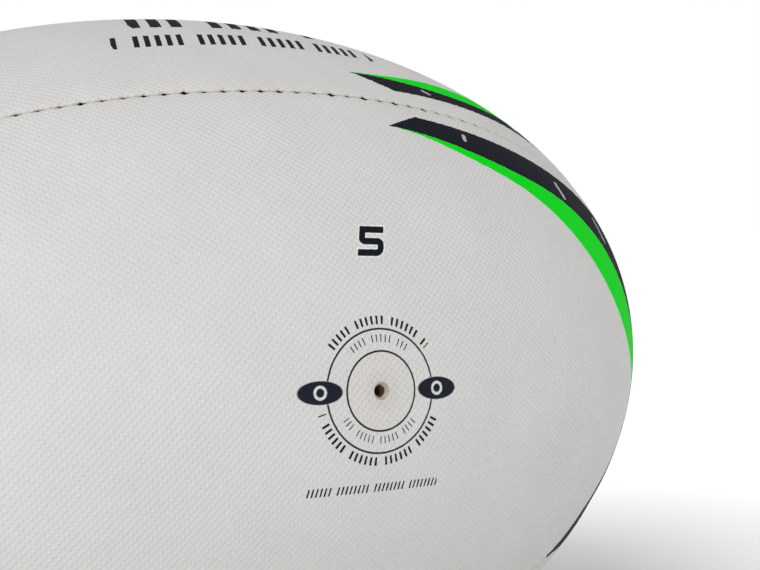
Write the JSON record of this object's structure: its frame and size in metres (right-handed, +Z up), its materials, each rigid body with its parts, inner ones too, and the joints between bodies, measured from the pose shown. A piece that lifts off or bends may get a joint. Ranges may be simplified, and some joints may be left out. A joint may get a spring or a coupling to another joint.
{
  "type": "rugby ball",
  "caption": "Oval sports ball of four stitched laminated rubber panels over an inflated bladder with a recessed needle valve.",
  "frame": {"origin": "centre of the ball", "axes": "+X along the long axis towards the tip nearer the valve, -Y out of the valve panel, +Z up through the top panel"},
  "size_m": [0.285, 0.191, 0.191],
  "materials": {
    "facing": "matt white pimpled rubber, printed black and green",
    "ply": "plain-woven poly-cotton in latex",
    "thread": "waxed twisted polyester",
    "bladder": "smooth butyl",
    "patch": "rubberised cotton",
    "valve": "moulded, matt",
    "core": "soft brown gum rubber"
  },
  "bodies": {
    "root": {"facing_front": "facing", "facing_top": "facing", "facing_back": "facing", "facing_bottom": "facing", "ply_outer_front": "ply", "ply_outer_top": "ply", "ply_outer_back": "ply", "ply_outer_bottom": "ply", "ply_middle_front": "ply", "ply_middle_top": "ply", "ply_middle_back": "ply", "ply_middle_bottom": "ply", "ply_inner_front": "ply", "ply_inner_top": "ply", "ply_inner_back": "ply", "ply_inner_bottom": "ply", "thread_front_top": "thread", "thread_top_back": "thread", "thread_back_bottom": "thread", "thread_bottom_front": "thread", "bladder": "bladder", "valve_patch": "patch", "valve_housing": "valve", "valve_core": "core"}
  },
  "joints": []
}
